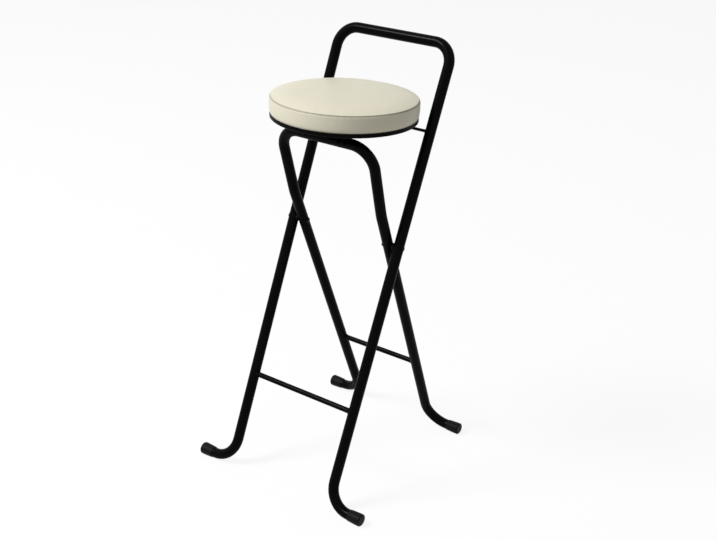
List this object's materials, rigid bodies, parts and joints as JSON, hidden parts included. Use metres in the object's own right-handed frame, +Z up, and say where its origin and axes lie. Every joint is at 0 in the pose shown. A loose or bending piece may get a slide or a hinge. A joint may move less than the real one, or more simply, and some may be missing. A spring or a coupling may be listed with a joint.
{
  "type": "folding bar stool",
  "caption": "Tall folding stool: two crossed bent-tube frames, a low handle loop, and a round padded vinyl seat that lifts as the frames close.",
  "frame": {"origin": "on the floor, midway between the front and rear feet and on the stool's left-right centre plane", "axes": "+Z up; +Y to the rear, where the handle leans; +X from one side leg to the other"},
  "size_m": [0.4172, 0.4449, 0.8927],
  "materials": {
    "frame_paint": "satin black enamel",
    "rod_paint": "satin black enamel",
    "pan_paint": "satin black enamel",
    "rivet_steel": "black plated steel",
    "screw_steel": "zinc plated",
    "spacer_nylon": "black nylon",
    "cap_rubber": "black soft plastic",
    "board_ply": "bare plywood",
    "pad_foam": "soft urethane foam",
    "cover_vinyl": "ivory vinyl, semi-matt"
  },
  "bodies": {
    "outer_frame": {"outer_frame_tube": "frame_paint", "front_rung": "rod_paint", "seat_hinge_rod": "rod_paint", "left_pivot_rivet": "rivet_steel", "right_pivot_rivet": "rivet_steel", "left_pivot_spacer": "spacer_nylon", "right_pivot_spacer": "spacer_nylon", "left_pivot_washer": "rivet_steel", "right_pivot_washer": "rivet_steel", "front_left_foot_cap": "cap_rubber", "front_right_foot_cap": "cap_rubber"},
    "inner_frame": {"inner_frame_tube": "frame_paint", "rear_rung": "rod_paint", "rear_left_foot_cap": "cap_rubber", "rear_right_foot_cap": "cap_rubber"},
    "seat": {"seat_pan": "pan_paint", "seat_board": "board_ply", "seat_foam": "pad_foam", "cover_top_panel": "cover_vinyl", "cover_side_band": "cover_vinyl", "cover_staples": "screw_steel", "left_seat_rail": "pan_paint", "right_seat_rail": "pan_paint", "rail_screws": "screw_steel"}
  },
  "joints": [
    {"name": "frame_fold", "type": "hinge", "parent": "outer_frame", "child": "inner_frame", "pos_m": [0, -0.01468, 0.5074], "axis": [-1, 0, 0], "range_deg": [0, 36.8]},
    {"name": "seat_lift", "type": "hinge", "parent": "outer_frame", "child": "seat", "pos_m": [0, 0.0702, 0.7228], "axis": [-1, 0, 0], "range_deg": [0, 34.96]}
  ],
  "couplings": [
    {"joint": "seat_lift", "follows": "frame_fold", "ratio": 0.95}
  ]
}
